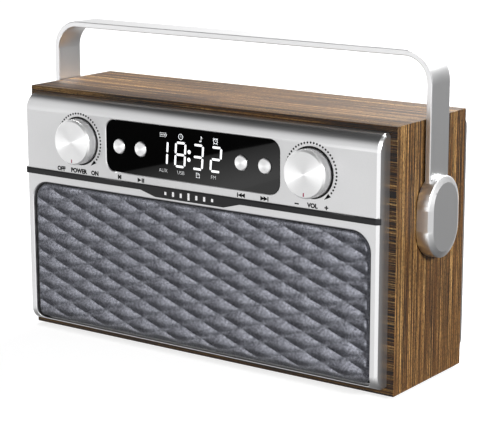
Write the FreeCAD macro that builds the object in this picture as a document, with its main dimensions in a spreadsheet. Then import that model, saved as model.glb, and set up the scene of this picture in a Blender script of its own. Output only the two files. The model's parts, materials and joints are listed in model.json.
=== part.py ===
import FreeCAD, Part

import math
import os

import Sketcher
from FreeCAD import Placement, Rotation, Vector

# Tabletop radio: a wooden cabinet with a rounded front panel and rear cover, two speakers behind a
# cloth grille, two knobs, four push buttons, a clock display and a swinging carrying handle.
# Frame: X to the right seen from the front, Y from front to back, Z up. The origin lies on the surface
# that the feet stand on, below the middle of the whole outline.
# Each sub-part is drawn in the cabinet's frame: x from the middle, y back from the front face of the
# wooden boards, z up from their underside. put() then moves it into the radio's own frame.

doc = FreeCAD.newDocument("TabletopRadio")
sheet = doc.addObject("Spreadsheet::Sheet", "Sizes")

DRIVING_SIZES = {
    "cabinet_width": 265,
    "cabinet_depth": 76.4,
    "cabinet_height": 152.6,
    "board_thickness": 9,
    "foot_height": 2,
    "foot_radius": 6,
    "foot_inset": 18,
    "shell_width": 256,
    "shell_height": 145,
    "shell_rise": 4,
    "shell_proud": 11.35,
    "shell_wall": 2.4,
    "nose_radius": 9.4,
    "shell_bevel": 1.5,
    "lip_length": 3,
    "lip_gap": 0.2,
    "lip_wall": 1.8,
    "control_rise": 123.9,
    "knob_offset": 84.2,
    "knob_radius": 13.75,
    "knob_proud": 7.5,
    "knob_bevel": 1,
    "recess_radius": 14.9,
    "recess_depth": 1.6,
    "shaft_radius": 3,
    "running_gap": 0.05,
    "bush_radius": 3.5,
    "window_width": 126,
    "window_height": 31.2,
    "window_corner": 6.5,
    "window_thickness": 2,
    "window_gap": 0.15,
    "opening_bevel": 0.5,
    "fit_gap": 0.1,
    "window_sink": 0.4,
    "inner_button": 36.55,
    "outer_button": 52.9,
    "button_radius": 4.3,
    "button_gap": 0.4,
    "button_proud": 0.9,
    "button_travel": 0.5,
    "trim_rise": 99.8,
    "trim_height": 3.5,
    "trim_proud": 1.2,
    "badge_drop": 3.1,
    "badge_top": 76,
    "badge_bottom": 50,
    "grille_width": 246.4,
    "grille_bottom": 5.8,
    "grille_top": 95,
    "grille_top_corner": 12,
    "grille_bottom_corner": 5,
    "cloth_sink": 0.9,
    "cloth_gap": 0.3,
    "frame_thickness": 2.4,
    "speaker_offset": 62,
    "speaker_rise": 50.5,
    "speaker_radius": 36,
    "cone_radius": 30,
    "baffle_thickness": 5,
    "basket_flange": 2,
    "block_size": 21,
    "block_depth": 15,
    "post_radius": 4.5,
    "screw_radius": 1.5,
    "screw_head_radius": 3,
    "screw_sink": 6,
    "magnet_radius": 22,
    "handle_rise": 190.4,
    "handle_width": 20.6,
    "handle_thickness": 3.4,
    "handle_gap": 1.3,
    "handle_bend": 18,
    "handle_bevel": 0.4,
    "pivot_rise": 97.1,
    "boss_width": 34.7,
    "boss_height": 46.7,
    "boss_reach": 9.4,
    "boss_bevel_width": 3.65,
    "boss_bevel_depth": 1.56,
    "bolt_radius": 3,
    "bolt_bite": 2.5,
    "bar_overlap": 12,
    "board_skin": 1.6,
    "cell_radius": 9.25,
    "cell_length": 65,
    "socket_rise": 50,
}


class Size:
    """A length that carries both its value and the spreadsheet formula that gives it."""

    def __init__(self, value, formula):
        self.value = value
        self.formula = formula

    def joined(self, other, sign, value):
        return Size(value, f"({self.formula} {sign} {formula_of(other)})")

    def __add__(self, other):
        return self.joined(other, "+", self.value + value_of(other))

    def __radd__(self, other):
        return self + other

    def __sub__(self, other):
        return self.joined(other, "-", self.value - value_of(other))

    def __rsub__(self, other):
        return -self + other

    def __mul__(self, other):
        return self.joined(other, "*", self.value * value_of(other))

    def __rmul__(self, other):
        return self * other

    def __truediv__(self, other):
        return self.joined(other, "/", self.value / value_of(other))

    def __neg__(self):
        return self * -1


def value_of(size):
    return size.value if isinstance(size, Size) else float(size)


def formula_of(size):
    return size.formula if isinstance(size, Size) else repr(float(size))


def read_sheet():
    """Fill the spreadsheet and hand its cells back by name."""
    cells = {}
    for row, (alias, number) in enumerate(DRIVING_SIZES.items(), start=1):
        sheet.set(f"A{row}", str(number))
        sheet.setAlias(f"A{row}", alias)
        cells[alias] = Size(number, f"Sizes.{alias}")
    doc.recompute()
    return cells


S = read_sheet()

HALF_WIDTH = S["cabinet_width"] / 2
DEPTH = S["cabinet_depth"]
WOOD_FRONT = (S["shell_proud"] + S["knob_proud"] - DEPTH - S["shell_proud"]) / 2
FLOOR = S["board_thickness"]
CEILING = S["cabinet_height"] - S["board_thickness"]
INNER_HALF = HALF_WIDTH - S["board_thickness"]
SHELL_HALF = S["shell_width"] / 2
SHELL_TOP = S["shell_rise"] + S["shell_height"]
PIVOT_Y = DEPTH / 2
BAR_INNER = HALF_WIDTH + S["handle_gap"]
BAR_OUTER = BAR_INNER + S["handle_thickness"]
BOSS_START = HALF_WIDTH + 0.6
FLOOR_OF_RECESS = S["recess_depth"] - S["shell_proud"]
WINDOW_FRONT = S["window_sink"] - S["shell_proud"]
WINDOW_BACK = WINDOW_FRONT + S["window_thickness"]
CONTROL_BOARD_FRONT = Size(-3.0, "-3.0")
MAIN_BOARD_FRONT = DEPTH - 16.4
SOCKET_BOARD_BACK = DEPTH - 3.4
REAR_WALL_INSIDE = DEPTH + S["shell_proud"] - S["shell_wall"]
BACK = DEPTH + S["shell_proud"]
BUTTONS = {
    "mode_button": -S["outer_button"],
    "play_button": -S["inner_button"],
    "previous_button": S["inner_button"],
    "next_button": S["outer_button"],
}
# How far a cutting tool runs past what it cuts.
PAST = 1
# Where the middle of each rear socket lies in x.
SOCKET_X = {"charge_port": -48, "aux_jack": -28, "usb_port": -8, "card_slot": 14}
# Each flat socket: half width, half height, wall, then its tongue's half width and z range.
FLAT_SOCKETS = {
    "charge_port": (4.7, 1.8, 0.4, 3.3, (-0.35, 0.35)),
    "usb_port": (6.6, 3.0, 0.5, 5.5, (0.1, 2.0)),
    "card_slot": (6.4, 1.2, 0.7, 0, None),
}
JACK_NOSE_RADIUS = 3.1
SOCKET_GAP = 0.2

sub_parts = []


def bind(thing, **sizes):
    """Set properties of an object and tie them to the spreadsheet."""
    for name, size in sizes.items():
        setattr(thing, name, value_of(size))
        if isinstance(size, Size):
            thing.setExpression(name, size.formula)


def put(thing, x=0, y=0, z=0, turn=None):
    """Place an object, given in the cabinet's frame, in the radio's frame."""
    spots = {"x": x, "y": WOOD_FRONT + y, "z": S["foot_height"] + z}
    base = Vector(*(value_of(spot) for spot in spots.values()))
    thing.Placement = Placement(base, turn or Rotation())
    for axis, spot in spots.items():
        if isinstance(spot, Size):
            thing.setExpression(f"Placement.Base.{axis}", spot.formula)
    return thing


def keep(thing, label):
    """Mark an object as a finished sub-part."""
    thing.Label = label
    sub_parts.append(thing)
    return thing


TOWARD_BACK = Rotation(Vector(1, 0, 0), -90)
TOWARD_FRONT = Rotation(Vector(1, 0, 0), 90)
TOWARD_RIGHT = Rotation(Vector(0, 1, 0), 90)
TOWARD_LEFT = Rotation(Vector(0, 1, 0), -90)
HALF_TURN = Rotation(Vector(0, 0, 1), 180)


def box(name, x, y, z):
    """A block between two values along each axis, each given as a (low, high) pair."""
    block = doc.addObject("Part::Box", name)
    bind(block, Length=x[1] - x[0], Width=y[1] - y[0], Height=z[1] - z[0])
    return put(block, x[0], y[0], z[0])


def rod(name, radius, length, x, y, z, turn):
    """A cylinder that starts at a point and runs the way that turn sends +Z."""
    cylinder = doc.addObject("Part::Cylinder", name)
    bind(cylinder, Radius=radius, Height=length)
    return put(cylinder, x, y, z, turn)


def joined(name, *things):
    fusion = doc.addObject("Part::MultiFuse", name)
    fusion.Shapes = list(things)
    return fusion


def cut(name, base, *tools):
    """The base with every tool taken away."""
    result = base
    for number, tool in enumerate(tools, start=1):
        step = doc.addObject("Part::Cut", f"{name}_step_{number}")
        step.Base = result
        step.Tool = tool
        result = step
    return result


def shared(name, first, second):
    common = doc.addObject("Part::MultiCommon", name)
    common.Shapes = [first, second]
    return common


def group(name, things):
    """Separate solids that share one node."""
    compound = doc.addObject("Part::Compound", name)
    compound.Links = list(things)
    return keep(compound, name)


def new_body(name):
    return doc.addObject("PartDesign::Body", name)


def new_sketch(body, plane, name, lift=0):
    """A sketch on one of the body's origin planes, moved along the plane's normal by lift."""
    sketch = body.newObject("Sketcher::SketchObject", name)
    origin_plane = [item for item in body.Origin.OriginFeatures if item.Role == plane][0]
    sketch.AttachmentSupport = [(origin_plane, "")]
    sketch.MapMode = "FlatFace"
    sketch.AttachmentOffset = Placement(Vector(0, 0, value_of(lift)), Rotation())
    if isinstance(lift, Size):
        sketch.setExpression("AttachmentOffset.Base.z", lift.formula)
    doc.recompute()
    return sketch


def dimension(sketch, kind, first, second, size):
    """Add a dimension to a sketch and tie it to the spreadsheet."""
    index = sketch.addConstraint(Sketcher.Constraint(kind, *first, *second, value_of(size)))
    if isinstance(size, Size):
        sketch.renameConstraint(index, f"size_{index}")
        sketch.setExpression(f"Constraints.size_{index}", size.formula)


def pin_point(sketch, curve, end, x, y):
    """Hold one point of a curve at x, y from the sketch's origin."""
    for kind, axis_line, size in (("DistanceX", -2, x), ("DistanceY", -1, y)):
        if abs(value_of(size)) < 1e-9:
            sketch.addConstraint(Sketcher.Constraint("PointOnObject", curve, end, axis_line))
        else:
            dimension(sketch, kind, (-1, 1), (curve, end), size)


def circle(sketch, x, y, radius):
    centre = Vector(value_of(x), value_of(y), 0)
    curve = sketch.addGeometry(Part.Circle(centre, Vector(0, 0, 1), value_of(radius)), False)
    pin_point(sketch, curve, 3, x, y)
    dimension(sketch, "Radius", (curve,), (), radius)


def end_at(sketch, curve, spot):
    """Which end of an arc, 1 or 2, lies at a spot."""
    return 1 if sketch.getPoint(curve, 1).distanceToPoint(spot) < 1e-6 else 2


def outline(sketch, corners):
    """A closed outline through corners (x, y) or (x, y, radius), dimensioned from the origin."""
    spots = [Vector(value_of(corner[0]), value_of(corner[1]), 0) for corner in corners]
    count = len(corners)
    leave, arrive, arcs = [], [], []
    for index, corner in enumerate(corners):
        spot = spots[index]
        if len(corner) == 2:
            leave.append(spot)
            arrive.append(spot)
            arcs.append(None)
            continue
        back = (spots[index - 1] - spot).normalize()
        ahead = (spots[(index + 1) % count] - spot).normalize()
        half_angle = back.getAngle(ahead) / 2
        radius = value_of(corner[2])
        trim = radius / math.tan(half_angle)
        middle = spot + (back + ahead).normalize() * (radius / math.sin(half_angle) - radius)
        arrive.append(spot + back * trim)
        leave.append(spot + ahead * trim)
        arcs.append(Part.Arc(arrive[-1], middle, leave[-1]))
    lines = []
    for index in range(count):
        line = Part.LineSegment(leave[index], arrive[(index + 1) % count])
        lines.append(sketch.addGeometry(line, False))
    for index, corner in enumerate(corners):
        before, after = lines[index - 1], lines[index]
        if arcs[index] is None:
            sketch.addConstraint(Sketcher.Constraint("Coincident", before, 2, after, 1))
            pin_point(sketch, after, 1, corner[0], corner[1])
            continue
        arc = sketch.addGeometry(arcs[index], False)
        first = end_at(sketch, arc, arrive[index])
        sketch.addConstraint(Sketcher.Constraint("Tangent", before, 2, arc, first))
        sketch.addConstraint(Sketcher.Constraint("Tangent", arc, 3 - first, after, 1))
        dimension(sketch, "Radius", (arc,), (), corner[2])
        mark = sketch.addGeometry(Part.Point(spots[index]), True)
        pin_point(sketch, mark, 1, corner[0], corner[1])
        sketch.addConstraint(Sketcher.Constraint("PointOnObject", mark, 1, before))
        sketch.addConstraint(Sketcher.Constraint("PointOnObject", mark, 1, after))


def rectangle(sketch, left, right, low, high, low_corner=None, high_corner=None):
    """A closed rectangle, with its lower and its upper corners rounded if a radius is given."""
    low_round = (low_corner,) if low_corner is not None else ()
    high_round = (high_corner,) if high_corner is not None else ()
    outline(sketch, [
        (left, low, *low_round),
        (right, low, *low_round),
        (right, high, *high_round),
        (left, high, *high_round),
    ])


def feature(body, kind, name, sketch, length, symmetric=False, reverse=False):
    """A Pad or Pocket of a sketch."""
    thing = body.newObject(f"PartDesign::{kind}", name)
    thing.Profile = sketch
    thing.SideType = "Symmetric" if symmetric else "One side"
    thing.Reversed = reverse
    bind(thing, Length=length)
    doc.recompute()
    return thing


def pocket(body, name, sketch, length, symmetric=False, reverse=False):
    """A Pocket that must really take something away."""
    before = body.Shape.Volume
    thing = feature(body, "Pocket", name, sketch, length, symmetric, reverse)
    if body.Shape.Volume > before - 1e-3:
        raise RuntimeError(f"{name} cuts nothing")
    return thing


def bevel(body, name, size, chosen, second_size=None):
    """Chamfer the edges of the body that chosen() accepts."""
    base = body.Tip
    edges = [f"Edge{number}" for number, edge in enumerate(base.Shape.Edges, start=1) if chosen(edge)]
    thing = body.newObject("PartDesign::Chamfer", name)
    thing.Base = (base, edges)
    bind(thing, Size=size)
    if second_size is not None:
        thing.ChamferType = "Two distances"
        bind(thing, Size2=second_size)
    doc.recompute()
    return thing


def turned(name, corners):
    """A body turned about its own Z axis from a half outline of (radius, height) corners."""
    body = new_body(name)
    sketch = new_sketch(body, "XZ_Plane", f"{name}_outline")
    outline(sketch, corners)
    revolution = body.newObject("PartDesign::Revolution", f"{name}_turn")
    revolution.Profile = sketch
    revolution.ReferenceAxis = (sketch, ["V_Axis"])
    revolution.Angle = 360
    doc.recompute()
    return body


def lies_at(edge, axis, value):
    """Whether a whole edge lies in the plane where one coordinate has a value."""
    low = getattr(edge.BoundBox, f"{axis}Min")
    high = getattr(edge.BoundBox, f"{axis}Max")
    return abs(low - value) < 1e-3 and abs(high - value) < 1e-3


# Wooden cabinet: four boards, mitred where they meet. The side boards take the handle's bushes.

BUSH_WALL = 2


def cabinet_board(name, corners, bolt_hole=False):
    body = new_body(name)
    sketch = new_sketch(body, "XZ_Plane", f"{name}_outline")
    outline(sketch, corners)
    feature(body, "Pad", f"{name}_pad", sketch, DEPTH, reverse=True)
    if bolt_hole:
        hole = new_sketch(body, "YZ_Plane", f"{name}_bolt_hole")
        circle(hole, PIVOT_Y, S["pivot_rise"], S["bolt_radius"] + BUSH_WALL)
        pocket(body, f"{name}_bolt_pocket", hole, S["cabinet_width"] * 2, symmetric=True)
    keep(put(body), name)


def cabinet():
    top = S["cabinet_height"]
    cabinet_board("cabinet_bottom", [
        (-HALF_WIDTH, 0), (HALF_WIDTH, 0), (INNER_HALF, FLOOR), (-INNER_HALF, FLOOR)])
    cabinet_board("cabinet_top", [
        (-HALF_WIDTH, top), (-INNER_HALF, CEILING), (INNER_HALF, CEILING), (HALF_WIDTH, top)])
    cabinet_board("cabinet_left", [
        (-HALF_WIDTH, 0), (-INNER_HALF, FLOOR), (-INNER_HALF, CEILING), (-HALF_WIDTH, top)], True)
    cabinet_board("cabinet_right", [
        (HALF_WIDTH, 0), (HALF_WIDTH, top), (INNER_HALF, CEILING), (INNER_HALF, FLOOR)], True)


def rubber_feet():
    feet = []
    across = HALF_WIDTH - S["foot_inset"]
    for number, (side, depth) in enumerate(
            [(-1, S["foot_inset"]), (1, S["foot_inset"]),
             (-1, DEPTH - S["foot_inset"]), (1, DEPTH - S["foot_inset"])], start=1):
        foot = rod(f"foot_{number}", S["foot_radius"], S["foot_height"],
                   across * side, depth, -S["foot_height"], Rotation())
        feet.append(foot)
    group("rubber_feet", feet)


# Front panel and rear cover: the same rounded shell, with a lip that plugs into the cabinet.

def nose_outline(sketch, inset, open_back=0):
    """Side outline of the shell, inset from its outside by a wall."""
    front = inset - S["shell_proud"]
    low = S["shell_rise"] + inset
    high = SHELL_TOP - inset
    nose = S["nose_radius"] - inset
    outline(sketch, [(open_back, low), (open_back, high), (front, high, nose), (front, low, nose)])


def shell_body(name):
    body = new_body(name)
    side = new_sketch(body, "YZ_Plane", f"{name}_side")
    nose_outline(side, Size(0, "0"))
    feature(body, "Pad", f"{name}_block", side, S["shell_width"], symmetric=True)
    half = value_of(SHELL_HALF)
    bevel(body, f"{name}_edges", S["shell_bevel"],
          lambda edge: (lies_at(edge, "X", half) or lies_at(edge, "X", -half))
          and not lies_at(edge, "Y", 0))
    hollow = new_sketch(body, "YZ_Plane", f"{name}_hollow")
    nose_outline(hollow, S["shell_wall"], open_back=PAST)
    pocket(body, f"{name}_inside", hollow, S["shell_width"] - S["shell_wall"] * 2, symmetric=True)
    # The flange spans from the wall to the lip, and the lip goes on into the cabinet's mouth.
    lip_x = INNER_HALF - S["lip_gap"]
    lip_low = FLOOR + S["lip_gap"]
    lip_high = CEILING - S["lip_gap"]
    thick = S["lip_wall"]
    wall_x = SHELL_HALF - S["shell_wall"] / 2
    wall_low = S["shell_rise"] + S["shell_wall"] / 2
    wall_high = SHELL_TOP - S["shell_wall"] / 2
    flange = new_sketch(body, "XZ_Plane", f"{name}_flange")
    rectangle(flange, -wall_x, wall_x, wall_low, wall_high)
    rectangle(flange, thick - lip_x, lip_x - thick, lip_low + thick, lip_high - thick)
    feature(body, "Pad", f"{name}_flange_pad", flange, thick)
    lip = new_sketch(body, "XZ_Plane", f"{name}_lip")
    rectangle(lip, -lip_x, lip_x, lip_low, lip_high)
    rectangle(lip, thick - lip_x, lip_x - thick, lip_low + thick, lip_high - thick)
    feature(body, "Pad", f"{name}_lip_pad", lip, S["lip_length"], reverse=True)
    return body


def front_panel():
    body = shell_body("front_panel")
    front = value_of(S["shell_proud"])
    recesses = new_sketch(body, "XZ_Plane", "knob_recesses", S["shell_proud"])
    holes = new_sketch(body, "XZ_Plane", "bush_holes", S["shell_proud"])
    for side in (-1, 1):
        circle(recesses, S["knob_offset"] * side, S["control_rise"], S["recess_radius"])
        circle(holes, S["knob_offset"] * side, S["control_rise"], S["bush_radius"] + S["fit_gap"])
    pocket(body, "knob_recess_pocket", recesses, S["recess_depth"])
    pocket(body, "bush_hole_pocket", holes, S["shell_wall"] + PAST)
    window = new_sketch(body, "XZ_Plane", "window_opening", S["shell_proud"])
    half = S["window_width"] / 2 + S["window_gap"]
    tall = S["window_height"] / 2 + S["window_gap"]
    corner = S["window_corner"] + S["window_gap"]
    rectangle(window, -half, half, S["control_rise"] - tall, S["control_rise"] + tall, corner, corner)
    pocket(body, "window_pocket", window, S["shell_wall"] + PAST)
    grille = new_sketch(body, "XZ_Plane", "grille_opening", S["lip_length"])
    rectangle(grille, -S["grille_width"] / 2, S["grille_width"] / 2,
              S["grille_bottom"], S["grille_top"], S["grille_bottom_corner"], S["grille_top_corner"])
    pocket(body, "grille_pocket", grille, S["shell_proud"], reverse=True)
    # A fine bevel catches the light round the window and along the top and sides of the grille.
    bevel(body, "opening_edges", S["opening_bevel"],
          lambda edge: lies_at(edge, "Y", -front) and rims_an_opening(edge))
    keep(put(body), "front_panel")


def rims_an_opening(edge):
    """Whether an edge of the panel's face belongs to the window or the grille opening."""
    middle = edge.CenterOfMass
    within_sides = abs(middle.x) < value_of(S["grille_width"]) / 2 + PAST
    below_window_top = edge.BoundBox.ZMax < value_of(S["control_rise"] + S["window_height"] / 2) + PAST
    round_a_knob = (abs(abs(middle.x) - value_of(S["knob_offset"])) < PAST
                    and abs(middle.z - value_of(S["control_rise"])) < PAST)
    long_enough = edge.Length > value_of(S["nose_radius"]) / 2
    return within_sides and below_window_top and long_enough and not round_a_knob


def rear_cover():
    body = shell_body("rear_cover")
    # Screw posts reach from the rear wall to the corner blocks.
    posts = new_sketch(body, "XZ_Plane", "screw_posts", -S["lip_length"])
    holes = new_sketch(body, "XZ_Plane", "screw_holes", -S["lip_length"] - PAST)
    heads = new_sketch(body, "XZ_Plane", "screw_heads", S["shell_proud"])
    for x, z in corner_screws():
        circle(posts, -x, z, S["post_radius"])
        circle(holes, -x, z, S["screw_radius"] + S["fit_gap"])
        circle(heads, -x, z, S["screw_head_radius"] * 1.2)
    depth = S["shell_proud"] + S["lip_length"]
    feature(body, "Pad", "screw_post_pads", posts, depth - S["shell_wall"] / 2)
    pocket(body, "screw_hole_pockets", holes, depth + PAST * 2, reverse=True)
    pocket(body, "screw_head_pockets", heads, S["screw_sink"])
    sockets = new_sketch(body, "XZ_Plane", "socket_holes", S["shell_proud"])
    rise = S["socket_rise"]
    circle(sockets, -SOCKET_X["aux_jack"], rise, JACK_NOSE_RADIUS + SOCKET_GAP)
    for name, (wide, tall, *_) in FLAT_SOCKETS.items():
        middle = -SOCKET_X[name]
        half = wide + SOCKET_GAP
        rectangle(sockets, middle - half, middle + half, rise - tall - SOCKET_GAP, rise + tall + SOCKET_GAP)
    pocket(body, "socket_hole_pockets", sockets, S["shell_wall"] + PAST)
    keep(put(body, y=DEPTH, turn=HALF_TURN), "rear_cover")


def corner_screws():
    """Where the four rear screws go, in x and z."""
    half = S["block_size"] / 2
    return [(side * (INNER_HALF - half), height)
            for side in (-1, 1) for height in (FLOOR + half, CEILING - half)]


def rear_fixings():
    """Corner blocks glued in the cabinet, and the four screws that hold the rear cover to them."""
    blocks = []
    screws = []
    half = S["block_size"] / 2
    block_back = DEPTH - S["lip_length"] - S["fit_gap"]
    seat = BACK - S["screw_sink"]
    head_height = 1.8
    slot_depth = 0.7
    bite = 12
    for number, (x, z) in enumerate(corner_screws(), start=1):
        block = box(f"block_{number}_wood", (x - half, x + half),
                    (block_back - S["block_depth"], block_back), (z - half, z + half))
        pilot = rod(f"block_{number}_pilot", S["screw_radius"], S["block_depth"] + PAST,
                    x, block_back + 0.5, z, TOWARD_FRONT)
        blocks.append(cut(f"block_{number}", block, pilot))
        head = rod(f"screw_{number}_head", S["screw_head_radius"], head_height, x, seat, z, TOWARD_BACK)
        slot = box(f"screw_{number}_slot", (x - 2, x + 2),
                   (seat + head_height - slot_depth, seat + head_height + PAST), (z - 0.4, z + 0.4))
        shank = rod(f"screw_{number}_shank", S["screw_radius"], seat - block_back + bite,
                    x, seat, z, TOWARD_FRONT)
        screws.append(cut(f"screw_{number}", joined(f"screw_{number}_solid", head, shank), slot))
    group("corner_blocks", blocks)
    group("rear_screws", screws)


# Display window, trim strip and badge.

def display_window():
    body = new_body("display_window")
    sketch = new_sketch(body, "XZ_Plane", "window_outline", -WINDOW_FRONT)
    half = S["window_width"] / 2
    tall = S["window_height"] / 2
    corner = S["window_corner"]
    rectangle(sketch, -half, half, S["control_rise"] - tall, S["control_rise"] + tall, corner, corner)
    for x in BUTTONS.values():
        circle(sketch, x, S["control_rise"], S["button_radius"] + S["button_gap"])
    feature(body, "Pad", "window_pad", sketch, S["window_thickness"], reverse=True)
    keep(put(body), "display_window")


def trim_strip():
    """A band across the panel that follows its bevelled edges, with a shallow badge plate below."""
    body = new_body("trim_strip")
    strip = new_sketch(body, "XY_Plane", "strip_outline", S["trim_rise"])
    front = S["shell_proud"]
    edge = S["shell_bevel"]
    proud = S["trim_proud"]
    side = SHELL_HALF + proud * 0.8
    outer_edge = edge + proud / 2
    back = edge - front
    outline(strip, [
        (-side, back), (-side, outer_edge - front - proud), (outer_edge - side, -front - proud),
        (side - outer_edge, -front - proud), (side, outer_edge - front - proud), (side, back),
        (SHELL_HALF, back), (SHELL_HALF - edge, -front), (edge - SHELL_HALF, -front), (-SHELL_HALF, back),
    ])
    feature(body, "Pad", "strip_pad", strip, S["trim_height"])
    badge = new_sketch(body, "XZ_Plane", "badge_outline", front)
    outline(badge, [
        (-S["badge_bottom"] / 2, S["trim_rise"] - S["badge_drop"]),
        (S["badge_bottom"] / 2, S["trim_rise"] - S["badge_drop"]),
        (S["badge_top"] / 2, S["trim_rise"] + 0.5),
        (-S["badge_top"] / 2, S["trim_rise"] + 0.5),
    ])
    feature(body, "Pad", "badge_pad", badge, proud)
    top = value_of(S["trim_rise"] + S["trim_height"])
    face = -value_of(front + proud)
    bevel(body, "strip_top_edge", proud / 2,
          lambda edge: lies_at(edge, "Y", face) and lies_at(edge, "Z", top))
    keep(put(body), "trim_strip")


def badge_motif():
    """Seven raised bars of swelling height, a plain sound-level pattern."""
    bars = []
    count = 7
    pitch = 5.7
    half_width = 0.75
    relief = 0.25
    face = -S["shell_proud"] - S["trim_proud"]
    middle = S["trim_rise"] + S["fit_gap"]
    for number in range(count):
        spread = number - (count - 1) / 2
        x = spread * pitch
        swell = math.cos(math.pi * spread / count) ** 2
        half_height = 0.9 + swell * (0.5 if number % 2 == 0 else 1.2)
        bars.append(box(f"bar_{number + 1}", (x - half_width, x + half_width), (face - relief, face),
                        (middle - half_height, middle + half_height)))
    group("badge_motif", bars)


# Grille: a cloth-covered frame that follows the rounded bottom of the panel.

def nose_block(name, inset):
    body = new_body(name)
    side = new_sketch(body, "YZ_Plane", f"{name}_side")
    nose_outline(side, inset)
    feature(body, "Pad", f"{name}_pad", side, S["shell_width"] - inset * 2, symmetric=True)
    return put(body)


def grille():
    window = new_body("cloth_window")
    sketch = new_sketch(window, "XZ_Plane", "cloth_window_outline", S["lip_length"])
    half = S["grille_width"] / 2 - S["cloth_gap"]
    gap = S["cloth_gap"]
    rectangle(sketch, -half, half, S["grille_bottom"] + gap, S["grille_top"] - gap,
              S["grille_bottom_corner"] - gap, S["grille_top_corner"] - gap)
    feature(window, "Pad", "cloth_window_pad", sketch, S["shell_proud"])
    put(window)
    cloth_skin = cut("cloth_skin", nose_block("cloth_outside", S["cloth_sink"]),
                     nose_block("cloth_inside", S["shell_wall"]))
    keep(shared("grille_cloth_solid", cloth_skin, window), "grille_cloth")

    inset = S["shell_wall"] + S["fit_gap"] / 2
    frame_skin = cut("frame_skin", nose_block("frame_outside", inset),
                     nose_block("frame_inside", inset + S["frame_thickness"]))
    side_gap = inset + 1
    behind_lip = -S["lip_wall"] - 0.4
    reach = box("frame_reach", (side_gap - SHELL_HALF, SHELL_HALF - side_gap),
                (-S["shell_proud"], behind_lip), (S["grille_bottom"], S["grille_top"] + 3))
    frame = shared("grille_frame_solid", frame_skin, reach)
    mouths = [rod(f"grille_mouth_{side}", S["cone_radius"], S["shell_proud"] * 2,
                  S["speaker_offset"] * side, -S["shell_proud"] - PAST, S["speaker_rise"], TOWARD_BACK)
              for side in (-1, 1)]
    keep(cut("grille_frame_cut", frame, *mouths), "grille_frame")


# Speakers on their baffle.

BAFFLE_FRONT = S["lip_length"] + S["fit_gap"]
SPEAKER_SCREW_RADIUS = 1.2


def speaker_baffle():
    back = BAFFLE_FRONT + S["baffle_thickness"]
    gap = 0.3
    board = box("baffle_board", (gap - INNER_HALF, INNER_HALF - gap), (BAFFLE_FRONT, back),
                (FLOOR + gap, S["grille_top"] + 4))
    mouths = [rod(f"baffle_mouth_{side}", S["speaker_radius"] - 4, S["baffle_thickness"] + PAST * 2,
                  S["speaker_offset"] * side, BAFFLE_FRONT - PAST, S["speaker_rise"], TOWARD_BACK)
              for side in (-1, 1)]
    pilots = [rod(f"baffle_pilot_{number}", SPEAKER_SCREW_RADIUS, S["baffle_thickness"] + PAST * 2,
                  x, BAFFLE_FRONT - PAST, z, TOWARD_BACK)
              for number, (x, z) in enumerate(speaker_screw_spots(), start=1)]
    keep(cut("baffle_cut", board, *mouths, *pilots), "speaker_baffle")


def speaker_screw_spots():
    """Four screws round each speaker."""
    reach = (S["speaker_radius"] - S["basket_flange"] * 1.1) * math.cos(math.pi / 4)
    return [(S["speaker_offset"] * side + reach * across, S["speaker_rise"] + reach * up)
            for side in (-1, 1) for across in (-1, 1) for up in (-1, 1)]


def speaker(side_name, side):
    """Basket, cone with its rolled surround and dust cap, and magnet, turned about the axis."""
    x = S["speaker_offset"] * side
    steel = S["basket_flange"]
    front = BAFFLE_FRONT - steel
    rim = S["speaker_radius"]
    cone = S["cone_radius"]
    throat = 9
    depth = 22
    magnet_height = 14
    basket = turned(f"speaker_frame_{side_name}_solid", [
        (rim, 0), (rim, -steel), (rim - 4.3, -steel), (20, steel - depth), (20, -depth),
        (throat + steel, -depth), (throat + steel, steel - depth), (18.2, steel - depth),
        (cone + 0.2, -steel), (cone + 0.2, 0)])
    put(basket, x, front, S["speaker_rise"], TOWARD_FRONT)
    spots = [spot for spot in speaker_screw_spots() if value_of(spot[0]) * side > 0]
    holes = [rod(f"basket_hole_{side_name}_{number}", SPEAKER_SCREW_RADIUS + 0.2, steel + PAST * 2,
                 spot_x, front - PAST, spot_z, TOWARD_BACK)
             for number, (spot_x, spot_z) in enumerate(spots, start=1)]
    keep(cut(f"basket_{side_name}", basket, *holes), f"speaker_frame_{side_name}")

    # From the rolled surround in to the throat, across the dust cap, and back under the paper.
    paper = turned(f"speaker_cone_{side_name}", [
        (cone, -1), (cone, 0), (cone - 2, 2, 1), (cone - 4, 0), (throat, 5 - depth),
        (throat / 2, 7.5 - depth, 6), (0, 8 - depth), (0, 6.5 - depth), (throat, 3 - depth),
        (cone - 4, -1.6)])
    keep(put(paper, x, front, S["speaker_rise"], TOWARD_FRONT), f"speaker_cone_{side_name}")

    magnet = turned(f"speaker_magnet_{side_name}", [
        (0, -depth), (S["magnet_radius"], -depth), (S["magnet_radius"], -depth - magnet_height),
        (0, -depth - magnet_height)])
    keep(put(magnet, x, front, S["speaker_rise"], TOWARD_FRONT), f"speaker_magnet_{side_name}")


def speaker_screws():
    screws = []
    face = BAFFLE_FRONT - S["basket_flange"]
    for number, (x, z) in enumerate(speaker_screw_spots(), start=1):
        head = rod(f"speaker_screw_{number}_head", 2, 1.2, x, face, z, TOWARD_FRONT)
        shank = rod(f"speaker_screw_{number}_shank", SPEAKER_SCREW_RADIUS, 8, x, face, z, TOWARD_BACK)
        screws.append(joined(f"speaker_screw_{number}", head, shank))
    group("speaker_screws", screws)


# Knobs: each has a cap, a red index mark, a shaft and a fixed body with a threaded bush behind it.

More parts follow.
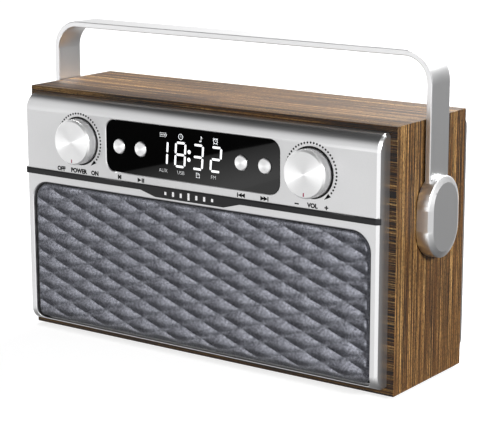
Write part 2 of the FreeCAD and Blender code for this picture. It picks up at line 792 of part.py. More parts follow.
def knob_set(word, body_name, side):
    x = S["knob_offset"] * side
    z = S["control_rise"]
    front = -S["shell_proud"] - S["knob_proud"]
    base = FLOOR_OF_RECESS - 0.8
    tall = base - front
    radius = S["knob_radius"]
    rim = S["knob_bevel"]
    skirt = 1.5
    roof = 2.5
    hub = S["shaft_radius"] + 2
    shaft_tip = tall - roof + 0.3
    cap = turned(f"{word}_cap", [
        (0, tall), (radius - rim, tall), (radius, tall - rim), (radius + skirt / 10, 0),
        (radius - skirt, 0), (radius - skirt, tall - roof), (hub, tall - roof), (hub, skirt),
        (S["shaft_radius"], skirt), (S["shaft_radius"], shaft_tip), (0, shaft_tip)])
    put(cap, x, base, z, TOWARD_FRONT)
    mark = ((x - 0.4, x + 0.4), (front, front + 0.3), (z - radius + 1.4, z - radius + 3.5))
    keep(cut(f"{word}_knob_cut", cap, box(f"{word}_groove", *mark)), f"{word}_knob")
    keep(box(f"{word}_pointer", *mark), f"{word}_pointer")

    shaft_start = base - shaft_tip
    shaft_end = CONTROL_BOARD_FRONT - 1.5
    keep(rod(f"{word}_shaft", S["shaft_radius"], shaft_end - shaft_start, x, shaft_start, z,
             TOWARD_BACK), f"{word}_shaft")

    half = 6.5
    face = -8.9
    bush_length = 2.7
    housing = box(f"{word}_housing", (x - half, x + half), (face, CONTROL_BOARD_FRONT), (z - half, z + half))
    bush = rod(f"{word}_bush", S["bush_radius"], bush_length, x, face, z, TOWARD_FRONT)
    bore = rod(f"{word}_bore", S["shaft_radius"] + S["running_gap"], 8, x, face - bush_length - 0.4, z,
               TOWARD_BACK)
    keep(cut(f"{body_name}_cut", joined(f"{body_name}_solid", housing, bush), bore), body_name)

    ring_height = 0.5
    outside = rod(f"{word}_ring_outside", S["recess_radius"] - S["running_gap"], ring_height,
                  x, FLOOR_OF_RECESS, z, TOWARD_FRONT)
    inside = rod(f"{word}_ring_inside", S["bush_radius"] + 0.3, ring_height + PAST,
                 x, FLOOR_OF_RECESS + PAST / 2, z, TOWARD_FRONT)
    keep(cut(f"{word}_ring_cut", outside, inside), f"{word}_ring")


# Push buttons, the switches behind them, the display module and their board.

SWITCH_HEIGHT = 3


def buttons():
    """Each cap has a flange behind the window and a thin stem that presses its switch."""
    front = WINDOW_FRONT - S["button_proud"]
    flange_front = WINDOW_BACK + 0.3
    stem_end = CONTROL_BOARD_FRONT - SWITCH_HEIGHT - S["button_travel"] - S["fit_gap"]
    radius = S["button_radius"]
    length = stem_end - front
    flange = stem_end - flange_front
    flange_back = flange - 0.8
    stem = 1.5
    crown = 0.5
    half = 3
    z = S["control_rise"]
    switches = []
    for name, x in BUTTONS.items():
        cap = turned(f"{name}_solid", [
            (0, length), (radius - crown, length), (radius, length - crown), (radius, flange),
            (radius + 1, flange), (radius + 1, flange_back), (stem, flange_back), (stem, 0), (0, 0)])
        keep(put(cap, x, stem_end, z, TOWARD_FRONT), name)
        switches.append(box(f"switch_{name}", (x - half, x + half),
                            (CONTROL_BOARD_FRONT - SWITCH_HEIGHT, CONTROL_BOARD_FRONT),
                            (z - half, z + half)))
    group("tact_switches", switches)


def control_electronics():
    z = S["control_rise"]
    back = CONTROL_BOARD_FRONT + S["board_skin"]
    keep(box("control_board", (-101, 101), (CONTROL_BOARD_FRONT, back), (z - 16.5, z + 16.5)),
         "control_board")
    keep(box("display_module", (-30, 30), (WINDOW_BACK + S["fit_gap"], CONTROL_BOARD_FRONT),
             (z - 13, z + 13)), "display_module")


def main_electronics():
    """Main board with its parts and heat sink, standing behind the speakers."""
    face = MAIN_BOARD_FRONT
    back = face + S["board_skin"]
    keep(box("main_board", (-75, 75), (face, back), (92, 140)), "main_board")
    pieces = []
    # Each chip: x, z, width, height, thickness.
    chips = [(-50, 118, 14, 14, 2), (-15, 118, 10, 10, 1.6), (12, 122, 16, 8, 2), (45, 116, 18, 12, 3)]
    for number, (x, z, wide, tall, thick) in enumerate(chips, start=1):
        pieces.append(box(f"chip_{number}", (x - wide / 2, x + wide / 2), (face - thick, face),
                          (z - tall / 2, z + tall / 2)))
    for number, x in enumerate((-62, -34, 0, 28, 64), start=1):
        pieces.append(rod(f"capacitor_{number}", 4, 11, x, face, 100, TOWARD_FRONT))
    group("main_board_parts", pieces)
    sink_left, sink_right = 28, 68
    sink_z = (100, 132)
    root = back + 2.5
    fin_thickness = 1.8
    fin_count = 7
    fin_pitch = (sink_right - sink_left - fin_thickness - 1.6) / (fin_count - 1)
    fins = [box("sink_base", (sink_left, sink_right), (back, root), sink_z)]
    for number in range(fin_count):
        x = sink_left + 0.8 + number * fin_pitch
        fins.append(box(f"sink_fin_{number + 1}", (x, x + fin_thickness), (root, root + 7.5), sink_z))
    keep(joined("heat_sink_solid", *fins), "heat_sink")


def battery():
    """Two round cells lying side by side in a cradle on the cabinet's floor."""
    radius = S["cell_radius"]
    half = S["cell_length"] / 2
    wall = 1.5
    end_wall = 4
    spots = [DEPTH - 35, DEPTH - 15.5]
    rise = FLOOR + 2.5 + radius
    base = box("cradle_base", (-half - end_wall, half + end_wall),
               (spots[0] - radius - wall, spots[1] + radius + wall), (FLOOR, rise))
    troughs = []
    cells = []
    for number, y in enumerate(spots, start=1):
        troughs.append(rod(f"cradle_trough_{number}", radius + S["fit_gap"], S["cell_length"] + 1,
                           -half - 0.5, y, rise, TOWARD_RIGHT))
        cells.append(rod(f"cell_{number}", radius, S["cell_length"], -half, y, rise, TOWARD_RIGHT))
    keep(cut("cradle_cut", base, *troughs), "battery_cradle")
    group("battery_cells", cells)


def sockets():
    """Rear sockets on their own small board: charging port, line input, data port and card slot."""
    z = S["socket_rise"]
    start = SOCKET_BOARD_BACK
    wall = REAR_WALL_INSIDE
    keep(box("socket_board", (-60, 26), (start - S["board_skin"], start), (z - 10, z + 10)),
         "socket_board")

    x = SOCKET_X["aux_jack"]
    half = 4
    shoulder = wall - 0.2
    mouth = shoulder + 2
    solid = joined("aux_jack_solid",
                   box("aux_jack_housing", (x - half, x + half), (start, shoulder), (z - half, z + half)),
                   rod("aux_jack_nose", JACK_NOSE_RADIUS, mouth - shoulder, x, shoulder, z, TOWARD_BACK))
    keep(cut("aux_jack_cut", solid, rod("aux_jack_bore", 1.8, 14, x, mouth, z, TOWARD_FRONT)),
         "aux_jack")

    mouth = wall + 2
    bottom = wall - 9
    for name, (wide, tall, skin, tongue_wide, tongue_z) in FLAT_SOCKETS.items():
        x = SOCKET_X[name]
        housing = box(f"{name}_housing", (x - wide, x + wide), (start, mouth), (z - tall, z + tall))
        space = box(f"{name}_hollow", (x - wide + skin, x + wide - skin), (bottom, mouth),
                    (z - tall + skin, z + tall - skin))
        if tongue_z:
            tongue = box(f"{name}_tongue", (x - tongue_wide, x + tongue_wide), (bottom, mouth - 1),
                         (z + tongue_z[0], z + tongue_z[1]))
            space = cut(f"{name}_space", space, tongue)
        keep(cut(f"{name}_cut", housing, space), name)


def antenna_strip():
    keep(box("antenna_strip", (-90, 90), (30, 42), (CEILING - 0.3, CEILING)), "antenna_strip")


# Handle: a bent flat bar held in a boss at each end, turning on bolts through the cabinet's sides.

def handle_bar():
    body = new_body("handle_bar")
    end = S["pivot_rise"] - S["bar_overlap"]
    inner_bend = S["handle_bend"] - S["handle_thickness"]
    under = S["handle_rise"] - S["handle_thickness"]
    shape = new_sketch(body, "XZ_Plane", "handle_outline", -PIVOT_Y)
    outline(shape, [
        (-BAR_OUTER, end), (-BAR_INNER, end), (-BAR_INNER, under, inner_bend),
        (BAR_INNER, under, inner_bend), (BAR_INNER, end), (BAR_OUTER, end),
        (BAR_OUTER, S["handle_rise"], S["handle_bend"]), (-BAR_OUTER, S["handle_rise"], S["handle_bend"])])
    feature(body, "Pad", "handle_pad", shape, S["handle_width"], symmetric=True)
    faces = [value_of(PIVOT_Y + S["handle_width"] / 2 * side) for side in (-1, 1)]
    ends = value_of(end)
    bevel(body, "handle_edges", S["handle_bevel"],
          lambda edge: any(lies_at(edge, "Y", face) for face in faces) and not lies_at(edge, "Z", ends))
    hole = new_sketch(body, "YZ_Plane", "handle_hole")
    circle(hole, PIVOT_Y, S["pivot_rise"], S["bolt_radius"])
    pocket(body, "handle_hole_pocket", hole, S["cabinet_width"] * 2, symmetric=True)
    keep(put(body), "handle_bar")


def stadium(sketch, width, height):
    """A long round-ended outline about the sketch's origin."""
    radius = width / 2
    straight = (height - width) / 2
    r, s = value_of(radius), value_of(straight)
    upper, lower = [
        sketch.addGeometry(Part.Arc(Vector(r * way, s * way, 0), Vector(0, (s + r) * way, 0),
                                    Vector(-r * way, s * way, 0)), False)
        for way in (1, -1)]
    front, back = [
        sketch.addGeometry(Part.LineSegment(Vector(-r * way, s * way, 0),
                                            Vector(-r * way, -s * way, 0)), False)
        for way in (1, -1)]
    for first, second in ((upper, front), (front, lower), (lower, back), (back, upper)):
        sketch.addConstraint(Sketcher.Constraint("Tangent", first, 2, second, 1))
    dimension(sketch, "Radius", (upper,), (), radius)
    pin_point(sketch, upper, 3, 0, straight)
    pin_point(sketch, lower, 3, 0, -straight)


def handle_boss(name, turn):
    """A long round-ended block with a bevelled face and a slot that takes the end of the bar."""
    body = new_body(name)
    shape = new_sketch(body, "YZ_Plane", f"{name}_outline", BOSS_START)
    stadium(shape, S["boss_width"], S["boss_height"])
    boss_face = HALF_WIDTH + S["boss_reach"]
    feature(body, "Pad", f"{name}_pad", shape, boss_face - BOSS_START)
    bevel(body, f"{name}_bevel", S["boss_bevel_depth"],
          lambda edge: lies_at(edge, "X", value_of(boss_face)), S["boss_bevel_width"])
    slot = new_sketch(body, "YZ_Plane", f"{name}_slot", BAR_OUTER)
    half = S["handle_width"] / 2
    rectangle(slot, -half, half, -S["bar_overlap"], S["boss_height"])
    pocket(body, f"{name}_slot_pocket", slot, S["handle_thickness"])
    hole = new_sketch(body, "YZ_Plane", f"{name}_hole", BAR_OUTER + S["bolt_bite"])
    circle(hole, 0, 0, S["bolt_radius"])
    pocket(body, f"{name}_hole_pocket", hole, S["bolt_bite"] + S["boss_reach"])
    keep(put(body, 0, PIVOT_Y, S["pivot_rise"], turn), name)


def ring(name, side, turn, outer, inner, length, start):
    """A flat ring about the pivot, from start outwards on one side of the radio."""
    spot = (start * side, PIVOT_Y, S["pivot_rise"], turn)
    outside = rod(f"{name}_outside", outer, length, *spot)
    inside = rod(f"{name}_inside", inner, length, *spot)
    return cut(name, outside, inside)


def pivots():
    """Bolt, nut and washer turn with the handle. The flanged bush stays in the cabinet's side."""
    rise = S["pivot_rise"]
    radius = S["bolt_radius"]
    sleeve_bore = radius + S["running_gap"]
    sleeve_radius = radius + BUSH_WALL
    nut_height = 5
    washer_start = INNER_HALF - 1.1
    nut_start = washer_start - nut_height
    bolt_start = nut_start - 1.9
    bolts, nuts, washers, bushes = [], [], [], []
    for word, side, turn in (("left", -1, TOWARD_LEFT), ("right", 1, TOWARD_RIGHT)):
        bolts.append(rod(f"bolt_{word}", radius, BAR_OUTER + S["bolt_bite"] - bolt_start,
                         bolt_start * side, PIVOT_Y, rise, turn))
        hexagon = doc.addObject("Part::Prism", f"nut_{word}_hexagon")
        hexagon.Polygon = 6
        bind(hexagon, Circumradius=radius * 1.9, Height=nut_height)
        put(hexagon, nut_start * side, PIVOT_Y, rise, turn)
        thread = rod(f"nut_{word}_thread", radius, nut_height, nut_start * side, PIVOT_Y, rise, turn)
        nuts.append(cut(f"nut_{word}", hexagon, thread))
        washers.append(ring(f"washer_{word}", side, turn, radius + 4, radius, 1, washer_start))
        sleeve = ring(f"bush_sleeve_{word}", side, turn, sleeve_radius, sleeve_bore,
                      S["board_thickness"], INNER_HALF)
        flange = ring(f"bush_flange_{word}", side, turn, sleeve_radius + 4, sleeve_bore, 0.5, HALF_WIDTH)
        bushes.append(joined(f"bush_{word}", sleeve, flange))
    group("pivot_bolts", bolts)
    group("pivot_nuts", nuts)
    group("pivot_washers", washers)
    group("pivot_bushes", bushes)


def check_everything():
    """Stop if any object failed or any sub-part isn't a sound solid."""
    for thing in doc.Objects:
        if "Invalid" in thing.State or "Error" in thing.State:
            raise RuntimeError(f"{thing.Name} did not build: {thing.State}")
    labels = [thing.Label for thing in sub_parts]
    if len(set(labels)) != len(labels):
        raise RuntimeError("two sub-parts share a label")
    for thing in sub_parts:
        if thing.Shape.isNull() or not thing.Shape.isValid() or not thing.Shape.Solids:
            raise RuntimeError(f"{thing.Label} has no sound solid")


def write_parts():
    os.makedirs("parts", exist_ok=True)
    for thing in sub_parts:
        thing.Shape.exportStep(f"parts/{thing.Label}.step")


cabinet()
rubber_feet()
front_panel()
rear_cover()
rear_fixings()
display_window()
trim_strip()
badge_motif()
grille()
speaker_baffle()
speaker("left", -1)
speaker("right", 1)
speaker_screws()
knob_set("power", "power_switch", -1)
knob_set("volume", "volume_encoder", 1)
buttons()
control_electronics()
main_electronics()
battery()
sockets()
antenna_strip()
handle_bar()
handle_boss("handle_boss_right", Rotation())
handle_boss("handle_boss_left", HALF_TURN)
pivots()
doc.recompute()
check_everything()
write_parts()
print(len(sub_parts), "sub-parts")
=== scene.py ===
import json
import math

import bmesh
import bpy
import numpy as np
from mathutils import Matrix, Vector


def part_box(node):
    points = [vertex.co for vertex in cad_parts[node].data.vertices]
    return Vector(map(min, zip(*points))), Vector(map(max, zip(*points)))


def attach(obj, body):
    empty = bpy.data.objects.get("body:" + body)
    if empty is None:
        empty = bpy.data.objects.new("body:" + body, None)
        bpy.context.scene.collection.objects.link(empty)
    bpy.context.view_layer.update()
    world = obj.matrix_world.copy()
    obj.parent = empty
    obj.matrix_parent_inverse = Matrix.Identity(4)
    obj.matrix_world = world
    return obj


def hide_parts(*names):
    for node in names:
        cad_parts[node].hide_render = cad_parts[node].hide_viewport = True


# The looks of the tabletop radio: materials for every CAD part, the quilted grille cloth, the lit
# display, the printing on the panel, the stage, the lights and the camera. Lengths are in metres, and
# MM turns millimetres into metres.

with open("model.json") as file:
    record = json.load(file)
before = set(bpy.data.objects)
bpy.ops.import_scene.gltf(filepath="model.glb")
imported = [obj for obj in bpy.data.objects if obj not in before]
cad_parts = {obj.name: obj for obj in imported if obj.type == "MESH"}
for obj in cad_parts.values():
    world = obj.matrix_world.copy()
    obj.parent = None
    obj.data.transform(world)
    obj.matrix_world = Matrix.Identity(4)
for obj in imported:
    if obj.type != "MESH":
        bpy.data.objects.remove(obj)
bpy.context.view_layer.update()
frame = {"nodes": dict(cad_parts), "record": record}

MM = 0.001
nodes = frame["nodes"]
PANEL_LOW, PANEL_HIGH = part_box("front_panel")
PANEL_FACE = PANEL_LOW.y
LENS_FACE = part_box("display_window")[0].y
COVER_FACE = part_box("rear_cover")[1].y
CLOTH_LOW, CLOTH_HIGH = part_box("grille_cloth")

# How far printed shapes stand out of their surface and reach into it, and how much bolder than the
# font the printed words are, in millimetres.
INK_RELIEF = 0.03 * MM
THIN_RELIEF = 0.002 * MM
INK_ROOT = 0.05 * MM
INK_BOLDER = 0.2
# How many times its capitals' height a font's size is.
CAPITAL = 1.45

# The quilting, in millimetres: how wide and tall a pillow is, where its two sets of seams lie, how soft
# the rising seams are, and between which heights the pillows fade away at the foot.
QUILT_WIDE = 29.0
QUILT_TALL = 10.94
FALLING_SHIFT = 0.73
RISING_SHIFT = 0.67
SEAM_SOFTNESS = 1.2
FADE_LOW = (PANEL_LOW.z / MM) + 4.0
FADE_HIGH = (PANEL_LOW.z / MM) + 10.0

# What the world shows, as pairs of a height and a grey. A ray's height is how far up it looks: -1 is
# straight down and 1 is straight up. Reflections see one set of greys behind the radio and one before it.
GREYS_MATT = ((-1, 0.04), (-0.2, 0.10), (0.1, 0.16), (1, 0.20))
GREYS_BEHIND = ((-1, 0.2), (-0.7, 0.3), (-0.42, 0.9), (-0.02, 1.08), (0.45, 1.05), (0.68, 0.15), (1, 0.02))
GREYS_BEFORE = ((-1, 0.2), (-0.7, 0.4), (-0.42, 1.0), (-0.3, 1.05), (0.5, 1.05), (0.66, 0.75), (0.8, 0.1),
                (1, 0.02))

# Where reflections see the world brighter or darker: how it is mixed in, the direction, how near to that
# direction (1 is exactly there) it starts and is complete, and its values away from it and at it. The last
# two shade the faces that look to the right and the silver under the lip of the top board.
SPOTS = (
    ("ADD", (-0.035, -0.975, -0.22), 0.92, 0.985, 0.0, 0.8),
    ("ADD", (0.76, -0.54, -0.22), 0.88, 0.97, 0.0, 0.5),
    ("ADD", (-0.85, -0.48, -0.22), 0.88, 0.99, 0.0, 0.22),
    ("MULTIPLY", (0.55, 0.77, -0.35), 0.55, 0.95, 1.0, 0.28),
    ("MULTIPLY", (-0.57, 0.45, 0.69), 0.86, 0.96, 1.0, 0.08),
)


def middle_of(node):
    low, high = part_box(node)
    return (low + high) / 2


# ---------------------------------------------------------------- camera, stage and lights

def make_camera():
    """The camera looks at the radio from the front right and a little above. Its numbers were fitted to
    the photograph's view."""
    azimuth, elevation, roll = (math.radians(angle) for angle in (35.457, 12.734, -0.09))
    aim = Vector((-0.0037, 0.0196, 0.0804))
    distance = 1.0645
    back = Vector((math.sin(azimuth) * math.cos(elevation),
                   -math.cos(azimuth) * math.cos(elevation),
                   math.sin(elevation)))
    right = Vector((math.cos(azimuth), math.sin(azimuth), 0))
    turn = Matrix((right, back.cross(right), back)).transposed() @ Matrix.Rotation(roll, 3, "Z")
    data = bpy.data.cameras.new("camera")
    data.sensor_width = 36
    data.lens = 124.38
    data.clip_start = 0.05
    data.clip_end = 50
    camera = bpy.data.objects.new("camera", data)
    camera.matrix_world = Matrix.Translation(aim + back * distance) @ turn.to_4x4()
    bpy.context.scene.collection.objects.link(camera)
    bpy.context.scene.camera = camera


def area_light(name, place, aim, width, height, power):
    """A rectangular lamp at place that shines towards aim."""
    data = bpy.data.lights.new(name, "AREA")
    data.shape = "RECTANGLE"
    data.size = width
    data.size_y = height
    data.energy = power
    light = bpy.data.objects.new(name, data)
    light.location = place
    light.rotation_euler = (Vector(aim) - Vector(place)).to_track_quat("-Z", "Y").to_euler()
    bpy.context.scene.collection.objects.link(light)


def stage_plane(name, corners, height, material):
    """A flat four-sided card with its corners given in X and Y."""
    mesh = bpy.data.meshes.new(name)
    mesh.from_pydata([(x, y, height) for x, y in corners], [], [(0, 1, 2, 3)])
    mesh.materials.append(material)
    plane = bpy.data.objects.new(name, mesh)
    bpy.context.scene.collection.objects.link(plane)
    return plane


# ---------------------------------------------------------------- building worlds and materials

class Nodes:
    """A node tree being put together, with short ways to add and join nodes."""

    def __init__(self, tree):
        self.tree = tree

    def feed(self, socket, value):
        """Link another node's output to a socket, or set the socket to a plain value."""
        if isinstance(value, bpy.types.NodeSocket):
            self.tree.links.new(value, socket)
        elif socket.type == "RGBA" and isinstance(value, tuple) and len(value) == 3:
            socket.default_value = (*value, 1)
        else:
            socket.default_value = value

    def add(self, kind, **settings):
        node = self.tree.nodes.new(f"ShaderNode{kind}")
        for name, value in settings.items():
            setattr(node, name, value)
        return node

    def maths(self, operation, *values):
        node = self.add("Math", operation=operation)
        for socket, value in zip(node.inputs, values):
            self.feed(socket, value)
        return node.outputs[0]

    def vector(self, operation, *values, scale=None):
        node = self.add("VectorMath", operation=operation)
        for socket, value in zip(node.inputs, values):
            self.feed(socket, value)
        if scale is not None:
            node.inputs["Scale"].default_value = scale
        return node.outputs["Value" if operation in ("LENGTH", "DOT_PRODUCT") else "Vector"]

    def sum_of(self, first, second):
        """Two values added up, each given with its weight."""
        return self.maths("ADD", self.maths("MULTIPLY", *first), self.maths("MULTIPLY", *second))

    def pick(self, test, otherwise, chosen):
        """One of two values: the chosen one where test is 1, and the other where it is 0."""
        return self.sum_of((self.maths("SUBTRACT", 1.0, test), otherwise), (test, chosen))

    def split(self, vector):
        node = self.add("SeparateXYZ")
        self.feed(node.inputs[0], vector)
        return node.outputs

    def point(self, x=0.0, y=0.0, z=0.0):
        node = self.add("CombineXYZ")
        for socket, value in zip(node.inputs, (x, y, z)):
            self.feed(socket, value)
        return node.outputs[0]

    def noise(self, vector, scale, detail=2.0, roughness=0.5):
        """Noise whose features are about 1 / scale millimetres."""
        node = self.add("TexNoise")
        self.feed(node.inputs["Vector"], vector)
        node.inputs["Scale"].default_value = scale
        node.inputs["Detail"].default_value = detail
        node.inputs["Roughness"].default_value = roughness
        return node.outputs["Fac"]

    def ramp(self, factor, *stops):
        """Colours, or greys given as one number, at positions from 0 to 1."""
        node = self.add("ValToRGB")
        self.feed(node.inputs[0], factor)
        for index, (position, colour) in enumerate(stops):
            elements = node.color_ramp.elements
            stop = elements[index] if index < 2 else elements.new(position)
            stop.position = position
            stop.color = (*colour, 1) if isinstance(colour, tuple) else (colour, colour, colour, 1)
        return node.outputs[0]

    def mix(self, factor, first, second, blend="MIX"):
        node = self.add("Mix", data_type="RGBA", blend_type=blend)
        self.feed(node.inputs[0], factor)
        self.feed(node.inputs[6], first)
        self.feed(node.inputs[7], second)
        return node.outputs[2]

    def span(self, value, low, high):
        """Carry a value from 0..1 to low..high."""
        return self.maths("MULTIPLY_ADD", value, high - low, low)

    def smooth(self, value, start, end, low=0.0, high=1.0):
        """Carry a value smoothly from start..end to low..high, and hold it at both ends."""
        node = self.add("MapRange", interpolation_type="SMOOTHSTEP")
        self.feed(node.inputs["Value"], value)
        node.inputs["From Min"].default_value = start
        node.inputs["From Max"].default_value = end
        node.inputs["To Min"].default_value = low
        node.inputs["To Max"].default_value = high
        return node.outputs[0]


def make_world():
    """White to the camera. Matt surfaces get a weak light from it, so that the lamps model the shapes.
    Reflections see a bright band around the horizon and darkness above and below it, and then the SPOTS
    make it brighter or darker towards a few directions."""
    world = bpy.data.worlds.new("studio")
    world.use_nodes = True
    world.node_tree.nodes.clear()
    sky = Nodes(world.node_tree)
    ray = sky.add("TexCoord").outputs["Generated"]
    _, ray_y, ray_z = sky.split(ray)
    share = sky.maths("MULTIPLY_ADD", ray_z, 0.5, 0.5)

    def shades(greys):
        return sky.ramp(share, *(((height + 1) / 2, grey) for height, grey in greys))

    in_front = sky.smooth(ray_y, 0.1, -0.3)
    gloss = sky.mix(in_front, shades(GREYS_BEHIND), shades(GREYS_BEFORE))
    for blend, direction, start, complete, away, at_it in SPOTS:
        nearness = sky.vector("DOT_PRODUCT", ray, direction)
        gloss = sky.mix(1.0, gloss, sky.smooth(nearness, start, complete, away, at_it), blend)
    path = sky.add("LightPath")
    seen = sky.mix(path.outputs["Is Glossy Ray"], shades(GREYS_MATT), gloss)
    seen = sky.mix(path.outputs["Is Camera Ray"], seen, (1.0, 1.0, 1.0))
    background = sky.add("Background")
    output = sky.add("OutputWorld")
    sky.feed(background.inputs["Color"], seen)
    sky.feed(output.inputs[0], background.outputs[0])
    bpy.context.scene.world = world


class Look(Nodes):
    """A material being put together. Its patterns follow place, which is in millimetres."""

    def __init__(self, name, **settings):
        self.material = bpy.data.materials.new(name)
        self.material.use_nodes = True
        super().__init__(self.material.node_tree)
        self.shader = self.tree.nodes["Principled BSDF"]
        for socket, value in settings.items():
            self.set(socket, value)
        where = self.add("TexCoord")
        self.place = self.vector("SCALE", where.outputs["Object"], scale=1 / MM)
        self.normal = where.outputs["Normal"]

    def set(self, socket, value):
        """Set or feed a socket of the shader, named like Coat_Weight."""
        self.feed(self.shader.inputs[socket.replace("_", " ")], value)

    def end_on(self):
        """1 on faces that look to the front or the back, and 0 on all others."""
        return self.maths("GREATER_THAN", self.maths("ABSOLUTE", self.split(self.normal)[1]), 0.5)

    def bump(self, height, depth):
        """Raise the surface by up to depth millimetres where height is 1."""
        node = self.add("Bump")
        node.inputs["Distance"].default_value = depth * MM
        node.inputs["Strength"].default_value = 1
        self.feed(node.inputs["Height"], height)
        self.set("Normal", node.outputs[0])


def srgb(red, green, blue):
    """A colour given as it looks on a screen, 0 to 255, as linear values."""
    return tuple((channel / 255) ** 2.2 for channel in (red, green, blue))


def grainy(name, colour, roughness, grain=0.4, depth=0.01, spread=0.12, **settings):
    """Any moulded, painted or cast surface: an even colour with fine mottling and a grained skin. The
    grain's size and depth are in millimetres, and spread is how far the colour varies."""
    look = Look(name, Roughness=roughness, **settings)
    fine = look.noise(look.place, 1 / grain, detail=3)
    broad = look.noise(look.place, 0.05, detail=2)
    shade = look.sum_of((fine, 0.6), (broad, 0.4))
    darker = tuple(channel * (1 - spread) for channel in colour)
    lighter = tuple(min(1, channel * (1 + spread)) for channel in colour)
    look.set("Base_Color", look.ramp(shade, (0.3, darker), (0.7, lighter)))
    look.set("Roughness", look.span(fine, roughness * 0.85, min(1, roughness * 1.15)))
    look.bump(fine, depth)
    return look.material


def walnut(name, upright):
    """Wood with fine dark and tan stripes. They run up the side boards and along the others, and across
    the ends of the boards that show at the front and the back."""
    look = Look(name, Specular_IOR_Level=0.3, Coat_Weight=0.06, Coat_Roughness=0.3)
    x, y, z = look.split(look.place)
    end_face = look.end_on()
    across = look.pick(end_face, y, z)
    along = look.pick(end_face, z if upright else x, x)

    # The grain wanders slowly from side to side, by up to so many millimetres.
    wander = 1.8
    slow = look.point(look.maths("MULTIPLY", across, 0.02), look.maths("MULTIPLY", along, 0.008))
    drift = look.noise(slow, 1.0, detail=2)
    bent = look.maths("ADD", across, look.maths("MULTIPLY", drift, wander))

    def streaks(width, length, detail=2.0, roughness=0.5):
        """Stripes about width across and length along the grain, in millimetres."""
        where = look.point(look.maths("DIVIDE", bent, width), look.maths("DIVIDE", along, length))
        return look.noise(where, 1.0, detail=detail, roughness=roughness)

    # From broad bands to short pores. The first two give the colour, and all but the bands then make it
    # darker or lighter.
    bands = streaks(3.6, 600, detail=3, roughness=0.7)
    stripes = streaks(0.8, 320)
    threads = streaks(0.5, 80)
    fibres = streaks(0.5, 7)
    pores = streaks(0.5, 1.8, detail=1)
    tone = look.sum_of((bands, 0.25), (stripes, 0.75))
    colour = look.ramp(tone, (0.38, srgb(54, 32, 15)), (0.47, srgb(100, 65, 32)),
                       (0.54, srgb(142, 101, 55)), (0.60, srgb(202, 160, 100)))
    dark = look.ramp(threads, (0.42, srgb(48, 36, 27)), (0.52, (1.0, 1.0, 1.0)))
    colour = look.mix(1.0, colour, dark, "MULTIPLY")
    dark = look.ramp(stripes, (0.35, srgb(88, 70, 56)), (0.44, (1.0, 1.0, 1.0)))
    colour = look.mix(0.9, colour, dark, "MULTIPLY")
    colour = look.mix(0.9, colour, look.ramp(fibres, (0.34, 0.5), (0.62, 1.25)), "MULTIPLY")
    colour = look.mix(0.8, colour, look.ramp(pores, (0.4, 0.4), (0.52, 1.0)), "MULTIPLY")
    colour = look.mix(look.maths("MULTIPLY", end_face, 0.35), colour, (0, 0, 0))
    look.set("Base_Color", colour)
    look.set("Roughness", look.span(fibres, 0.5, 0.68))
    look.bump(look.sum_of((fibres, 0.5), (pores, 0.5)), 0.06)
    return look.material


def satin_silver():
    """Silver paint: fine metal flakes in a satin coat."""
    look = Look("satin_silver", Metallic=0.95)
    flakes = look.noise(look.place, 3.2, detail=2)
    clouds = look.noise(look.place, 0.03, detail=2)
    shade = look.sum_of((flakes, 0.55), (clouds, 0.45))
    look.set("Base_Color", look.ramp(shade, (0.3, (0.62, 0.62, 0.625)), (0.7, (0.67, 0.67, 0.675))))
    look.set("Roughness", look.span(flakes, 0.26, 0.33))
    look.bump(flakes, 0.004)
    return look.material


def brushed(name, colour, roughness, along, depth=0.0005):
    """Satin metal with hair-thin lines along one axis."""
    look = Look(name, Metallic=1.0)
    stretch = tuple(0.2 if axis == along else 4.0 for axis in "XYZ")
    lines = look.noise(look.vector("MULTIPLY", look.place, stretch), 1.0, detail=3)
    blast = look.noise(look.place, 6.0, detail=1)
    shade = look.sum_of((lines, 0.7), (blast, 0.3))
    darker = tuple(channel * 0.97 for channel in colour)
    look.set("Base_Color", look.ramp(shade, (0.3, darker), (0.7, colour)))
    look.set("Roughness", look.span(shade, roughness * 0.92, roughness * 1.1))
    look.bump(shade, depth)
    return look.material


def spun(name, centre):
    """Metal turned on a lathe about a front-to-back line through centre. Its highlights spread along the
    tangent: out from the centre on the faces, and around the axis on the side walls."""
    roughness, tone, pitch = 0.42, 0.95, 0.22
    look = Look(name, Metallic=1.0, Anisotropic=0.92)
    arm = look.vector("SUBTRACT", look.place, tuple(centre / MM))
    flat = look.vector("MULTIPLY", arm, (1, 0, 1))
    reach = look.vector("LENGTH", flat)
    around_it = look.vector("CROSS_PRODUCT", flat, (0, 1, 0))
    tangent = look.vector("NORMALIZE", look.mix(look.end_on(), around_it, flat))
    turn = look.add("VectorTransform", vector_type="VECTOR", convert_from="OBJECT", convert_to="WORLD")
    look.feed(turn.inputs[0], tangent)
    look.set("Tangent", turn.outputs[0])
    rings = look.maths("SINE", look.maths("MULTIPLY", reach, 2 * math.pi / pitch))
    cuts = look.noise(look.point(look.maths("MULTIPLY", reach, 3.0)), 1.0, detail=3)
    shade = look.sum_of((cuts, 0.8), (rings, 0.1))
    darker = (tone * 0.93, tone * 0.93, tone * 0.935)
    look.set("Base_Color", look.ramp(shade, (0.25, darker), (0.7, (tone, tone, tone))))
    look.set("Roughness", look.span(cuts, roughness * 0.8, roughness * 1.25))
    look.bump(shade, 0.003)
    return look.material


def gloss_black():
    """Polished black lens with the faintest haze."""
    look = Look("window_black", Specular_IOR_Level=0.5)
    haze = look.noise(look.place, 0.08, detail=3)
    look.set("Base_Color", look.ramp(haze, (0.3, 0.0008), (0.7, 0.0016)))
    look.set("Roughness", look.span(haze, 0.015, 0.03))
    return look.material


